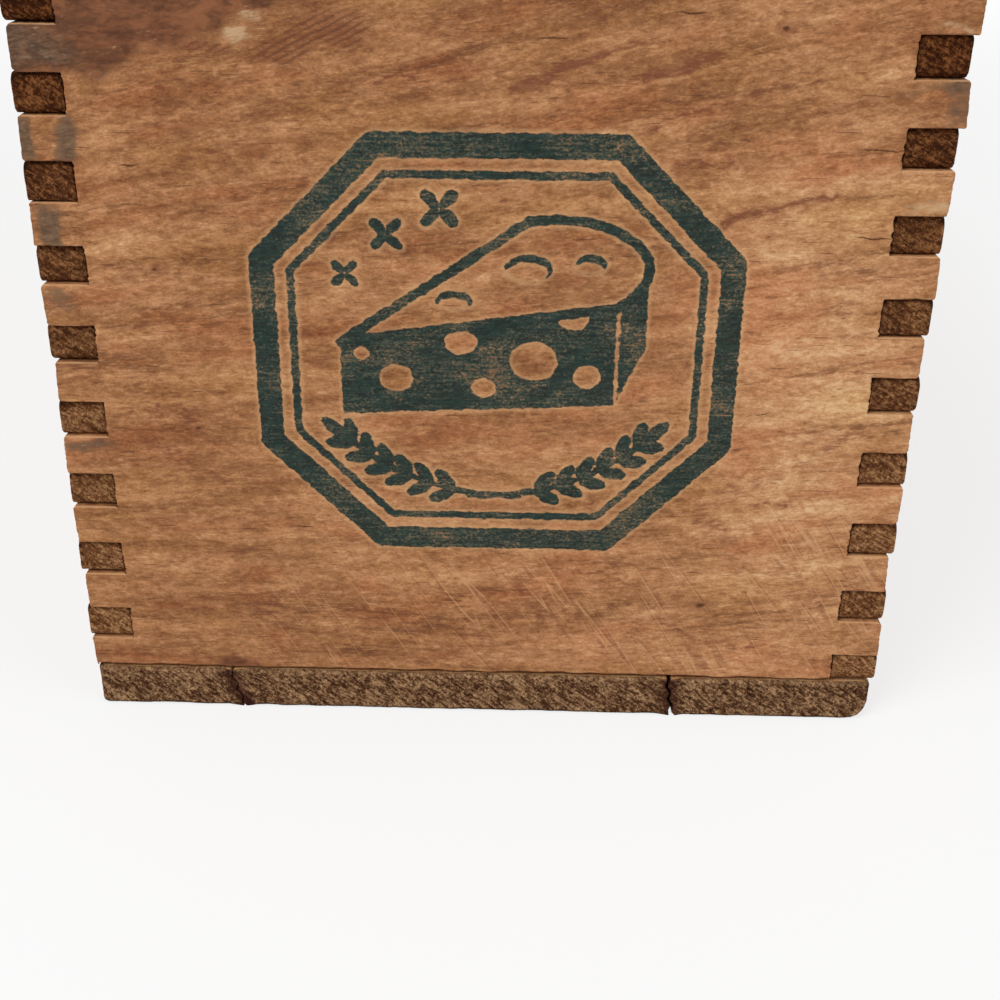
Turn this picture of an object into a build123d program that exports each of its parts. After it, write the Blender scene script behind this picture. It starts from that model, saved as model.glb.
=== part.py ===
from build123d import *
import os

# A small wooden cheese box: four thin boards finger-jointed at the corners, a nailed
# bottom board and a flat lid on two brass hinges, held shut by a swinging hook.
# Millimetres. X runs across the box, Y along it and Z up. The origin is the middle of
# the bottom board's underside. The stamped end faces -Y, the hinges are on the +X side.

# Boards
box_width = 101.6
box_length = 298.45
wall_height = 88.9
side_thickness = 5.56
end_thickness = 5.56
bottom_thickness = 5.56
lid_thickness = 5.56

# The bottom board's long edges lie behind the side panels, and its ends stand proud
bottom_inset = 0.4
bottom_proud = 0.4
bottom_edge_radius = 1.0
lid_edge_radius = 0.8

# Finger joints: a side panel's fingers repeat up each corner, from a low or a high start
finger_pitch = 9.525
side_finger = 4.4
low_corner_start = -0.42
high_corner_start = 4.48
shortest_finger = 0.6
finger_gap = 0.05

# Nails in the underside
nail_length = 22.0
nail_radius = 0.75
nail_head_radius = 1.3
nail_head_thickness = 0.5
nail_point = 2.0
nail_sink = 0.15
side_nail_count = 5
side_nail_end_distance = 22.0
end_nail_count = 2
end_nail_spacing = 52.0

# Butt hinges, let into the rim and the lid
hinge_length = 19.0
hinge_end_distance = 52.0
leaf_depth = 4.7
leaf_thickness = 0.8
leaf_gap = 0.3
knuckle_radius = 1.9
knuckle_count = 5
knuckle_gap = 0.15
knuckle_clearance = 0.3
pin_radius = 0.9
pin_head_radius = 1.4
pin_head_thickness = 0.6
mortise_gap = 0.1

# Flat-headed hinge screws
hinge_screw_radius = 0.75
hinge_screw_head_radius = 1.4
hinge_screw_head_height = 0.65
hinge_screw_spacing = 11.5
body_screw_length = 9.5
screw_cover = 0.8

# Swinging hook and its two round-headed screws
hook_drop = 14.0
hook_thickness = 1.2
hook_gap = 0.15
hook_eye_radius = 3.1
hook_arm_width = 3.6
hook_neck_width = 3.0
hook_head_radius = 4.0
hook_tip_radius = 1.7
hook_tip_reach = 5.0
latch_shank_radius = 0.95
latch_head_radius = 2.1
latch_head_height = 1.3
peg_depth = 9.0
peg_notch_gap = 0.1

# Shared fits
running_gap = 0.05
close_gap = 0.02
screw_point = 1.6
point_radius = 0.1
slot_width = 0.4
slot_depth = 0.35

# Places that follow from the sizes
half_width = box_width / 2
half_length = box_length / 2
rim = bottom_thickness + wall_height
mortise_depth = leaf_thickness + leaf_gap / 2
pin_x = half_width + knuckle_radius + knuckle_clearance
hinge_y = half_length - hinge_end_distance
hinge_screw_x = half_width - leaf_depth / 2
pivot_z = rim - hook_drop
peg_z = rim + lid_thickness / 2
hook_face_x = -half_width - hook_gap
hook_reach = peg_z - pivot_z


def block(x, y, z):
    """A box between the two limits given for each axis."""
    limits = (x, y, z)
    middle = [(low + high) / 2 for low, high in limits]
    size = [high - low for low, high in limits]
    return Pos(*middle) * Box(*size)


def turned(profile):
    """A solid of revolution about Z from (radius, height) corners."""
    outline = make_face(Polyline(*profile, close=True))
    return revolve(Plane.XZ * outline, Axis.Z)


def drilling(place, radius, depth):
    """The round hole that goes down from a plane."""
    hole = Cylinder(radius, depth, align=(Align.CENTER, Align.CENTER, Align.MAX))
    return place * hole


def finger_cells(start):
    """Lowest and highest Z of each side-panel finger up one corner."""
    cells = []
    low = start
    while low < wall_height - shortest_finger:
        if low + side_finger > shortest_finger:
            foot = bottom_thickness + max(low, 0)
            head = bottom_thickness + min(low + side_finger, wall_height)
            cells.append((foot, head))
        low += finger_pitch
    return cells


def nail_places():
    """Middle of each nail head in the underside."""
    side_x = half_width - side_thickness / 2
    side_run = box_length - 2 * side_nail_end_distance
    end_y = half_length - end_thickness / 2
    places = []
    for edge in (-1, 1):
        for i in range(side_nail_count):
            along = -side_run / 2 + i * side_run / (side_nail_count - 1)
            places.append((edge * side_x, along))
        for i in range(end_nail_count):
            across = (i - (end_nail_count - 1) / 2) * end_nail_spacing
            places.append((across, edge * end_y))
    return places


def nail(x, y):
    """A wire nail driven upwards, with its flat head just below the underside."""
    under_head = nail_sink + nail_head_thickness
    tip = nail_sink + nail_length
    profile = [
        (0, nail_sink),
        (nail_head_radius, nail_sink),
        (nail_head_radius, under_head),
        (nail_radius, under_head),
        (nail_radius, tip - nail_point),
        (point_radius, tip),
        (0, tip),
    ]
    return Pos(x, y, 0) * turned(profile)


def nail_hole(x, y):
    """The room for a nail, with the counterbore that sinks its head."""
    head_room = nail_sink + nail_head_thickness + close_gap
    room = nail_sink + nail_length + close_gap
    upwards = Plane(origin=(x, y, 0), z_dir=(0, 0, -1))
    wide = drilling(upwards, nail_head_radius + close_gap, head_room)
    return wide + drilling(upwards, nail_radius + close_gap, room)


def with_nail_holes(board):
    """A board with the holes of the nails that pass through it."""
    limits = board.bounding_box()
    holes = [
        nail_hole(x, y)
        for x, y in nail_places()
        if limits.min.X < x < limits.max.X and limits.min.Y < y < limits.max.Y
    ]
    return board - holes


def flat_screw(place, length):
    """A flat-headed wood screw whose head is flush with a plane."""
    profile = [
        (0, 0),
        (hinge_screw_head_radius, 0),
        (hinge_screw_radius, -hinge_screw_head_height),
        (hinge_screw_radius, screw_point - length),
        (point_radius, -length),
        (0, -length),
    ]
    slot = block(
        (-slot_width / 2, slot_width / 2),
        (-hinge_screw_head_radius, hinge_screw_head_radius),
        (-slot_depth, slot_depth),
    )
    return place * (turned(profile) - slot)


def round_screw(place, length):
    """A round-headed screw whose head stands on a plane and whose shank goes below it."""
    shank = turned(
        [
            (0, 0),
            (latch_shank_radius, 0),
            (latch_shank_radius, screw_point - length),
            (point_radius, -length),
            (0, -length),
        ]
    )
    edge = (latch_head_radius, 0)
    crown = (0, latch_head_height)
    dome_radius = (latch_head_radius**2 + latch_head_height**2) / (2 * latch_head_height)
    arc = RadiusArc(edge, crown, -dome_radius)
    sides = Polyline(crown, (0, 0), edge)
    dome = revolve(Plane.XZ * make_face([arc, sides]), Axis.Z)
    slot = block(
        (-slot_width / 2, slot_width / 2),
        (-latch_head_radius, latch_head_radius),
        (latch_head_height - slot_depth, latch_head_height + slot_depth),
    )
    return place * (dome + shank - slot)


def front_end():
    """The stamped end board: slots up both edges take the side panels' fingers."""
    face_y = -half_length
    thickness = (face_y, face_y + end_thickness)
    panel = block((-half_width, half_width), thickness, (bottom_thickness, rim))
    slots = []
    for edge, start in ((-1, high_corner_start), (1, low_corner_start)):
        inner = edge * (half_width - side_thickness)
        across = sorted((inner, edge * half_width))
        for low, high in finger_cells(start):
            slots.append(block(across, thickness, (low - finger_gap, high + finger_gap)))
    return panel - slots


def left_side():
    """A long side board with fingers at both ends, one row low and the other high."""
    thickness = (-half_width, side_thickness - half_width)
    shoulder = half_length - end_thickness
    panel = block(thickness, (-shoulder, shoulder), (bottom_thickness, rim))
    fingers = []
    for edge, start in ((-1, high_corner_start), (1, low_corner_start)):
        along = sorted((edge * shoulder, edge * half_length))
        fingers += [block(thickness, along, cell) for cell in finger_cells(start)]
    return panel + fingers


def mortises(low, high):
    """Recesses for the hinge leaves, open at the outer face, between two heights."""
    inner = half_width - leaf_depth - mortise_gap
    reach = hinge_length / 2 + mortise_gap
    cuts = []
    for y in (-hinge_y, hinge_y):
        cuts.append(block((inner, half_width), (y - reach, y + reach), (low, high)))
    return cuts


def screw_ys(y):
    """Where a leaf's two screws are along the hinge at y."""
    return (y - hinge_screw_spacing / 2, y + hinge_screw_spacing / 2)


def body_screw_planes(y):
    """Planes on the body leaf's face, at the tops of its screws."""
    face_z = rim - leaf_gap / 2
    return [Plane(origin=(hinge_screw_x, v, face_z), z_dir=(0, 0, 1)) for v in screw_ys(y)]


def lid_screw_planes(y):
    """Planes on the lid leaf's face, whose screws go up into the lid."""
    face_z = rim + leaf_gap / 2
    return [Plane(origin=(hinge_screw_x, v, face_z), z_dir=(0, 0, -1)) for v in screw_ys(y)]


def lid_screw_length():
    """The longest screw that stays covered by the lid."""
    return lid_thickness - leaf_gap / 2 - screw_cover


def hinge_leaf(y, up):
    """One leaf with its knuckles. up is 1 for the lid's leaf and -1 for the box's."""
    near = rim + up * leaf_gap / 2
    layer = sorted((near, near + up * leaf_thickness))
    low_y = y - hinge_length / 2
    leaf = block(
        (half_width - leaf_depth, half_width), (low_y, low_y + hinge_length), layer
    )
    step = hinge_length / knuckle_count
    first = 0 if up < 0 else 1
    for i in range(first, knuckle_count, 2):
        start = low_y + i * step + (knuckle_gap / 2 if i else 0)
        last = i == knuckle_count - 1
        stop = low_y + (i + 1) * step - (0 if last else knuckle_gap / 2)
        leaf += block((half_width, pin_x), (start, stop), layer)
        axis = Plane(origin=(pin_x, stop, rim), z_dir=(0, 1, 0))
        leaf += drilling(axis, knuckle_radius, stop - start)
    fit = close_gap if up < 0 else running_gap
    through = Plane(origin=(pin_x, low_y + hinge_length, rim), z_dir=(0, 1, 0))
    leaf -= drilling(through, pin_radius + fit, hinge_length)
    planes = body_screw_planes(y) if up < 0 else lid_screw_planes(y)
    for plane in planes:
        countersink = turned(
            [
                (0, 0),
                (hinge_screw_head_radius + close_gap, 0),
                (hinge_screw_radius + close_gap, -hinge_screw_head_height),
                (hinge_screw_radius + close_gap, -leaf_thickness),
                (0, -leaf_thickness),
            ]
        )
        leaf -= plane * countersink
    return leaf


def hinge_pin(y):
    """The pin through both leaves' knuckles, with a low head at each end."""
    half = hinge_length / 2
    end = half + pin_head_thickness
    profile = [
        (0, -end),
        (pin_radius, -end),
        (pin_head_radius, -half),
        (pin_radius, -half),
        (pin_radius, half),
        (pin_head_radius, half),
        (pin_radius, end),
        (0, end),
    ]
    return Plane(origin=(pin_x, y, rim), z_dir=(0, 1, 0)) * turned(profile)


def hinge_cuts(screw_planes, screw_length, low, high):
    """What one board loses to both hinges: the recesses and the screws' holes."""
    radius = hinge_screw_radius + close_gap
    planes = screw_planes(-hinge_y) + screw_planes(hinge_y)
    holes = [drilling(plane, radius, screw_length + close_gap) for plane in planes]
    return mortises(low, high) + holes


def lid():
    """The flat lid, flush with the walls, with eased top edges."""
    board = block(
        (-half_width, half_width), (-half_length, half_length), (rim, rim + lid_thickness)
    )
    board = fillet(board.faces().sort_by(Axis.Z)[-1].edges(), lid_edge_radius)
    cuts = hinge_cuts(lid_screw_planes, lid_screw_length(), rim, rim + mortise_depth)
    return board - (cuts + [latch_hole(peg_z, peg_depth)])


def right_side(side):
    """The hinge side board: the other side board turned round and cut for the hinges."""
    cuts = hinge_cuts(body_screw_planes, body_screw_length, rim - mortise_depth, rim)
    return Rot(0, 0, 180) * side - cuts


def bottom():
    """The nailed bottom board with its lower edges eased."""
    across = half_width - bottom_inset
    along = half_length + bottom_proud
    board = block((-across, across), (-along, along), (0, bottom_thickness))
    long_edges = board.faces().sort_by(Axis.Z)[0].edges().filter_by(Axis.Y)
    return fillet(long_edges, bottom_edge_radius)


def latch_hole(z, depth):
    """The hole in the -X face for a latch screw."""
    outwards = Plane(origin=(-half_width, 0, z), z_dir=(-1, 0, 0))
    return drilling(outwards, latch_shank_radius + close_gap, depth + close_gap)


def latch_screw(z, depth):
    """A round-headed screw in the -X face, standing off by the hook's thickness."""
    stand_off = hook_gap + hook_thickness + hook_gap
    outwards = Plane(origin=(-half_width - stand_off, 0, z), z_dir=(-1, 0, 0))
    return round_screw(outwards, stand_off + depth)


def pivot_depth():
    """How far the pivot screw goes into the side board."""
    return side_thickness - screw_cover


def latch_hook():
    """A flat brass hook hanging from its eye. Its notch opens towards +Y and is an arc
    about the eye, so it slides over the peg as the hook swings up."""
    head = (0, -hook_reach)
    tip = (0, -hook_reach - hook_tip_reach)
    arm = make_face(
        Polyline(
            (-hook_arm_width / 2, 0),
            (hook_arm_width / 2, 0),
            (hook_neck_width / 2, -hook_reach),
            (-hook_neck_width / 2, -hook_reach),
            close=True,
        )
    )
    finger = make_face(
        Polyline(
            (-hook_neck_width / 2, -hook_reach),
            (hook_neck_width / 2, -hook_reach),
            (hook_tip_radius / 2, tip[1]),
            (-hook_tip_radius / 2, tip[1]),
            close=True,
        )
    )
    shape = Circle(hook_eye_radius) + arm + finger
    shape += Pos(*head) * Circle(hook_head_radius)
    shape += Pos(*tip) * Circle(hook_tip_radius)
    shape -= Circle(latch_shank_radius + running_gap)
    notch = latch_shank_radius + peg_notch_gap
    swept = Circle(hook_reach + notch) - Circle(hook_reach - notch)
    open_side = make_face(
        Polyline((0, 0), (0, -2 * hook_reach), (2 * hook_reach, -2 * hook_reach), close=True)
    )
    shape -= swept & open_side
    shape -= Pos(*head) * Circle(notch)
    place = Plane(
        origin=(hook_face_x - hook_thickness, 0, pivot_z), x_dir=(0, 1, 0), z_dir=(1, 0, 0)
    )
    return extrude(place * shape, hook_thickness, dir=(1, 0, 0))


def hinge_pieces(name, y):
    """Every piece of one hinge, by its node's name."""
    return {
        f"{name}_hinge_body_leaf": hinge_leaf(y, -1),
        f"{name}_hinge_lid_leaf": hinge_leaf(y, 1),
        f"{name}_hinge_pin": hinge_pin(y),
        f"{name}_hinge_body_screws": Compound(
            children=[flat_screw(p, body_screw_length) for p in body_screw_planes(y)]
        ),
        f"{name}_hinge_lid_screws": Compound(
            children=[flat_screw(p, lid_screw_length()) for p in lid_screw_planes(y)]
        ),
    }


def main():
    end = with_nail_holes(front_end())
    side = with_nail_holes(left_side())
    pieces = {
        "front_end_panel": end,
        "rear_end_panel": Rot(0, 0, 180) * end,
        "left_side_panel": side - latch_hole(pivot_z, pivot_depth()),
        "right_side_panel": right_side(side),
        "bottom_board": with_nail_holes(bottom()),
        "bottom_nails": Compound(children=[nail(x, y) for x, y in nail_places()]),
        "lid_board": lid(),
        **hinge_pieces("front", -hinge_y),
        **hinge_pieces("rear", hinge_y),
        "latch_hook": latch_hook(),
        "latch_pivot_screw": latch_screw(pivot_z, pivot_depth()),
        "latch_peg_screw": latch_screw(peg_z, peg_depth),
    }
    os.makedirs("parts", exist_ok=True)
    for name, piece in pieces.items():
        export_step(piece, f"parts/{name}.step")


main()
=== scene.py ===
import math
from itertools import product

import bmesh
import bpy
import numpy as np
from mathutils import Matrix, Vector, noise
from mathutils.geometry import delaunay_2d_cdt

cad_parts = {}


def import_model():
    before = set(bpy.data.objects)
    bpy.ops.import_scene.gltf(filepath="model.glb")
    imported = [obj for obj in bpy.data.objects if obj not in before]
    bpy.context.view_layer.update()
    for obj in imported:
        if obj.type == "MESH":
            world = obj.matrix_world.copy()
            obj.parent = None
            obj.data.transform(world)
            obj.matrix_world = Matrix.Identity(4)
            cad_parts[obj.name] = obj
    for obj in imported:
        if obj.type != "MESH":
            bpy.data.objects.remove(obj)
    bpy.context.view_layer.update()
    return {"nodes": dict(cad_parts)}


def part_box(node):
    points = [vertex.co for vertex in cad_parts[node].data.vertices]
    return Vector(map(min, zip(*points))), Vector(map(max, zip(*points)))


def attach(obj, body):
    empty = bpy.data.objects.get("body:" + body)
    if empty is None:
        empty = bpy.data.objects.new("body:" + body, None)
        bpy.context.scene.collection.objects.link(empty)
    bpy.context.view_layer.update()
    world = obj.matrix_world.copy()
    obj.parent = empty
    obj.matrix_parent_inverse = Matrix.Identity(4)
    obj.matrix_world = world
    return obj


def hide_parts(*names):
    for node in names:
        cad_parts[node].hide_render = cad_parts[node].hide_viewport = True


# The looks of a small old cheese box: worn finger-jointed pine boards with a stamped
# end, rough sawn end grain, tarnished brass fittings and rusty nails.
# Shapes are worked out in millimetres and handed to Blender in metres.
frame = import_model()

MM = 0.001
X, Y, Z = 0, 1, 2

# The walls, from the frame
front_low, front_high = (np.array(c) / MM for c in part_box("front_end_panel"))
face_y = front_low[Y]
wall_foot = front_low[Z]
wall_top = front_high[Z]
half_width = front_high[X]

# How the boards' meshes are divided, in millimetres and in rows, and the lengths that
# count as nothing and as far away
fine_step = 0.3
wall_step = 0.42
long_step = 0.9
coarse_step = 1.5
face_step = 0.52
rear_step = 0.9
hold_width = 0.1
hair = 0.01
no_limit = 9.0
finger_reach = 8
finger_run = 12
round_turns = 3
arc_turns = 5

# How deep the drawn marks reach round the edges, how near to its ends a board is
# dented, and a distance well outside the ink
mark_depth = 2.5
dent_reach = 0.9
no_ink = 5.0

# The right-hand fingers of the front end panel stand proud towards the top: how far,
# and the height where that starts and over which it grows
proud = 0.65
proud_from = 45
proud_over = 28

# The stamp on the front end panel
stamp_x = 1.5
stamp_z = wall_foot + 44.3
stamp_width = 56.0
stamp_height = 51.0
stamp_step = 0.3
stamp_margin = 0.8

# Checks in the front end of the bottom board: place across, width, length and lean
checks = ((24.6, 0.34, 30.0, 0.9), (-32.0, 0.12, 14.0, 1.6))
worn_corner = 3.4
split_radius = 0.13
tip_width = 0.1

# Cuts in the boards: the depth and room of the hinges' recesses, and the room and
# sides of the nails' holes
recess_depth = 0.95
recess_gap = 0.1
hole_gap = 0.04
hole_sides = 28


# Meshes


def noise_at(points, size, seed):
    """Smooth noise from about -1 to 1, with lumps of about this size in millimetres."""
    shift = 17.3 * seed
    return np.array([noise.noise((x + shift, y - shift, z)) for x, y, z in points / size])


def in_space(points):
    """Flat points as points in space."""
    return np.column_stack([points, np.zeros(len(points))])


def node_box(node):
    """A CAD node's lowest and highest corners in millimetres."""
    return (np.array(c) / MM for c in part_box(node))


def cad_mesh(node):
    """A CAD node's mesh for reading, with its seams closed."""
    bm = bmesh.new()
    bm.from_mesh(frame["nodes"][node].data)
    bmesh.ops.remove_doubles(bm, verts=bm.verts, dist=1e-6)
    return bm


def face_loops(node, axis, side):
    """Closed outlines of a CAD node's flat outer face, as lists of points in space."""
    bm = cad_mesh(node)
    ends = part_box(node)
    place = (ends[1] if side > 0 else ends[0])[axis]
    flat = []
    for face in bm.faces:
        level = abs(face.calc_center_median()[axis] - place) < 1e-5
        if level and face.normal[axis] * side > 0.99:
            flat.append(face)
    inside = set(flat)
    following = {}
    for face in flat:
        for loop in face.loops:
            if sum(f in inside for f in loop.edge.link_faces) == 1:
                following[loop.vert] = loop.link_loop_next.vert
    loops = []
    while following:
        vert = next(iter(following))
        points = []
        while vert in following:
            points.append(np.array(vert.co) / MM)
            vert = following.pop(vert)
        loops.append(np.array(points))
    bm.free()
    return loops


def turn_way(corners):
    """Twice the area of a flat outline, above 0 if it runs counter-clockwise."""
    after = np.roll(corners, -1, axis=0)
    return np.sum(corners[:, 0] * after[:, 1] - after[:, 0] * corners[:, 1])


def turns(corners):
    """The runs into and out of each corner, and its turn, above 0 to the left."""
    before = corners - np.roll(corners, 1, axis=0)
    after = np.roll(corners, -1, axis=0) - corners
    return before, after, before[:, 0] * after[:, 1] - before[:, 1] * after[:, 0]


def face_outline(node, axis, side, along, across):
    """Corners of a board's outer face as (along, across), counter-clockwise from the
    lowest one at the low end."""
    loops = face_loops(node, axis, side)
    longest = max(loops, key=lambda p: np.ptp(p[:, along]) + np.ptp(p[:, across]))
    corners = longest[:, [along, across]]
    corners = corners[np.abs(turns(corners)[2]) > 1e-3]
    if turn_way(corners) < 0:
        corners = corners[::-1]
    first = min(range(len(corners)), key=lambda i: tuple(np.round(corners[i], 2)))
    return np.roll(corners, -first, axis=0)


def box_outline(node, along, across):
    """The four corners of a plain board, counter-clockwise as (along, across)."""
    low, high = node_box(node)
    ends = [(low, low), (high, low), (high, high), (low, high)]
    return np.array([(a[along], b[across]) for a, b in ends])


def uneven_ends(corners, reach, lean, rng):
    """Moves each finger's end in or out a little, as saws and wear leave them."""
    moved = corners.copy()
    far = np.abs(corners[:, 0]).max()
    for i in range(len(corners)):
        j = (i + 1) % len(corners)
        at_end = min(abs(corners[i, 0]), abs(corners[j, 0])) > far - hair
        if at_end and corners[i, 0] * corners[j, 0] > 0:
            outward = np.sign(corners[i, 0])
            shift = rng.uniform(*reach)
            slant = rng.uniform(-lean, lean)
            moved[i, 0] += outward * min(shift + slant, reach[1])
            moved[j, 0] += outward * min(shift - slant, reach[1])
    return moved


def split_end(corners, splits):
    """Adds narrow splits to a plain board's low end."""
    low = corners[0][0]
    added = []
    for place, width, length, _ in splits:
        mouth, tip = width / 2, tip_width / 2
        added += [(low, place + mouth), (low + length, place + tip)]
        added += [(low + length, place - tip), (low, place - mouth)]
    return np.array([*corners, *added])


def rounded_path(corners, radii):
    """Close points along an outline whose corners are arcs, with their outward normals
    and how far each may be moved inwards before the outline would cross itself."""
    ends = np.abs(corners[:, 0]).max()
    arcs = []
    for here, radius, into, out, _ in zip(corners, radii, *turns(corners)):
        into = into / np.linalg.norm(into)
        out = out / np.linalg.norm(out)
        turn = math.atan2(into[0] * out[1] - into[1] * out[0], into @ out)
        start = here - into * radius * math.tan(abs(turn) / 2)
        centre = start + radius * np.sign(turn) * np.array([-into[1], into[0]])
        spoke = start - centre
        arc = []
        for k in range(arc_turns):
            angle = turn * k / (arc_turns - 1)
            cos, sin = math.cos(angle), math.sin(angle)
            arc.append(centre + [spoke[0] * cos - spoke[1] * sin, spoke[0] * sin + spoke[1] * cos])
        arcs.append((arc, turn > 0))
    points = []
    for (arc, _), (following, _) in zip(arcs, arcs[1:] + arcs[:1]):
        points += arc
        start, stop = arc[-1], following[0]
        run = np.linalg.norm(stop - start)
        across = abs(start[1] - stop[1]) > abs(start[0] - stop[0])
        finger = max(abs(start[0]), abs(stop[0])) > ends - finger_reach and run < finger_run
        step = fine_step if finger or across else long_step
        steps = max(int(run / step), 1)
        points += [start + (stop - start) * k / steps for k in range(1, steps)]
    points = np.array(points)
    tangents = np.roll(points, -1, axis=0) - np.roll(points, 1, axis=0)
    normals = np.column_stack([tangents[:, 1], -tangents[:, 0]])
    normals /= np.linalg.norm(normals, axis=1)[:, None]
    limit = np.full(len(points), no_limit)
    for corner, radius, (_, outward) in zip(corners, radii, arcs):
        if outward:
            away = np.maximum(np.linalg.norm(points - corner, axis=1) - radius, 0)
            limit = np.minimum(limit, radius - hold_width - 0.03 + 0.4 * away)
    return points, normals, limit


def corner_radii(corners, outer, inner, rng):
    """A radius for each corner: a chosen range outside, and one size inside."""
    radii = []
    for into, out, turn in zip(*turns(corners)):
        room = 0.45 * min(np.linalg.norm(into), np.linalg.norm(out))
        radii.append(min(rng.uniform(*outer) if turn > 0 else inner, room))
    return radii


def zone_points(zones, rng):
    """Scattered points over rectangles, where an earlier rectangle wins."""
    found = []
    for i, (low, high, step) in enumerate(zones):
        low, high = np.array(low), np.array(high)
        counts = np.maximum(((high - low) / step).astype(int), 1)
        steps = (high - low) / counts
        u = low[0] + steps[0] * (np.arange(counts[0]) + 0.5)
        v = low[1] + steps[1] * (np.arange(counts[1]) + 0.5)
        points = np.stack(np.meshgrid(u, v), -1).reshape(-1, 2)
        points += rng.uniform(-0.3, 0.3, points.shape) * step
        for other_low, other_high, other_step in zones[:i]:
            margin = other_step / 2
            inside = np.all((points > np.array(other_low) - margin), axis=1)
            inside &= np.all((points < np.array(other_high) + margin), axis=1)
            points = points[~inside]
        found.append(points)
    return np.concatenate(found)


def cap(ring, scattered):
    """Fills a closed ring of points. Returns the added points and the triangles, in
    which a point below the ring's count is one of the ring's own."""
    count = len(ring)
    edges = [(i, (i + 1) % count) for i in range(count)]
    places = [tuple(p) for p in (*ring, *scattered)]
    found, _, faces, origins, _, _ = delaunay_2d_cdt(places, edges, [], 1, 1e-7)
    added, index = [], []
    for place, origin in zip(found, origins):
        own = [o for o in origin if o < count]
        index.append(own[0] if own else count + len(added))
        if not own:
            added.append(tuple(place))
    triangles = [[index[v] for v in face] for face in faces]
    return np.array(added).reshape(-1, 2), triangles


def edge_wear(board, points, normals, limit):
    """An outline frayed inwards, and the rounding of its outer and inner edges."""
    wear = board["wear"]
    space = in_space(points)
    seed = board["seed"]
    fray = np.abs(noise_at(space, 0.6, seed)) + 0.5 * np.abs(noise_at(space, 3.0, seed + 1))
    cut_across = np.abs(normals[:, 0]) > 0.6
    notch = cut_across & (np.abs(points[:, 0]) < np.abs(points[:, 0]).max() - 2)
    depth = np.where(cut_across, wear["fray_end"], wear["fray_side"])
    depth = np.where(notch, wear["fray_notch"], depth)
    frayed = points - normals * (depth * fray)[:, None]
    foot = normals[:, 1] < -0.9
    foot &= points[:, 1] < points[:, 1].min() + 0.3
    lumps = 0.5 + 0.5 * noise_at(space, 2.5, seed + 2)
    frayed[foot, 1] += (wear["foot_gap"] * (0.5 + lumps))[foot]
    chips = np.clip(noise_at(space, 1.6, seed + 3) - 0.25, 0, 1)
    corners = np.clip(noise_at(space, 6.0, seed + 4), 0, 1)
    outer = wear["outer"] * (0.6 + 0.8 * lumps) + wear["chip"] * chips + wear["lump"] * corners
    inner = wear["inner"] * (0.6 + 0.8 * lumps)
    sharp = np.ones(len(points))
    for place, width, length, _ in board["splits"]:
        away = np.abs(points[:, 1] - place) - width / 2
        along = points[:, 0] - points[:, 0].min() - length
        away = np.where(along > 1, no_limit, away)
        sharp = np.minimum(sharp, np.clip((away - 0.2) / 1.5, 0.1, 1))
    outer, inner = outer * sharp, inner * sharp
    return frayed, np.minimum(outer, limit), np.minimum(inner, limit)


def rounding(reach):
    """How far in and how far down the rows of points lie that round an edge."""
    angles = [math.pi / 2 * k / round_turns for k in range(round_turns + 1)]
    return [(reach * (1 - math.sin(angle)), reach * (1 - math.cos(angle))) for angle in angles]


def board_mesh(board, outline, radii, rng):
    """A worn board: its outer face, its rounded edges and walls, and its inner face.
    Returns points in space in millimetres, faces, the material of each face and how
    far each point belongs to a worn edge."""
    points, normals, limit = rounded_path(outline, radii)
    points, outer, inner = edge_wear(board, points, normals, limit)
    count = len(points)
    thickness = board["thickness"]
    rows = [(outer + hold_width, 0 * outer, 0)]
    rows += [(inset, down, 1) for inset, down in rounding(outer)]
    wall_rows = max(int(thickness / wall_step), 2)
    for k in range(1, wall_rows):
        share = k / wall_rows
        rows.append((0 * outer, outer + (thickness - outer - inner) * share, 0))
    rows += [(inset, thickness - down, 1) for inset, down in reversed(rounding(inner))]
    rows.append((inner + hold_width, thickness + 0 * inner, 0))
    flat, deep, edge = [], [], []
    for inset, down, worn in rows:
        flat.append(points - normals * inset[:, None])
        deep.append(down)
        edge.append(np.full(count, float(worn)))
    faces, kinds = [], []
    end_rows = range(round_turns + 1, len(rows) - round_turns - 2)
    cut_end = np.abs(normals[:, 0]) > 0.55
    if board["dark_rims"]:
        end_rows = range(len(rows) - 1)
        cut_end |= np.abs(points[:, 0]) > np.abs(points[:, 0]).max() - board["dark_rims"]
    for place, width, length, _ in board["splits"]:
        near = np.abs(points[:, 1] - place) < width
        cut_end |= near & (points[:, 0] < points[:, 0].min() + length + 1)
    for r in range(len(rows) - 1):
        for i in range(count):
            here, after = r * count + i, r * count + (i + 1) % count
            faces.append((here, after, after + count, here + count))
            kinds.append(1 if cut_end[i] and r in end_rows else 0)
    total = len(rows) * count
    for ring, first, face_zones, level, kind in (
        (flat[0], 0, board["zones"], 0, 0),
        (flat[-1], total - count, board["back_zones"], thickness, 2),
    ):
        added, triangles = cap(ring, zone_points(face_zones, rng))
        start = sum(len(f) for f in flat)
        flat.append(added)
        deep.append(np.full(len(added), float(level)))
        edge.append(np.zeros(len(added)))
        for triangle in triangles:
            faces.append([first + v if v < count else start + v - count for v in triangle])
            kinds.append(kind)
    flat, deep = np.concatenate(flat), np.concatenate(deep)
    space = np.zeros((len(flat), 3))
    space[:, board["along"]] = flat[:, 0]
    space[:, board["across"]] = flat[:, 1]
    space[:, board["through"]] = board["face"] - board["side"] * deep
    return space, faces, kinds, np.concatenate(edge)


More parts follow.
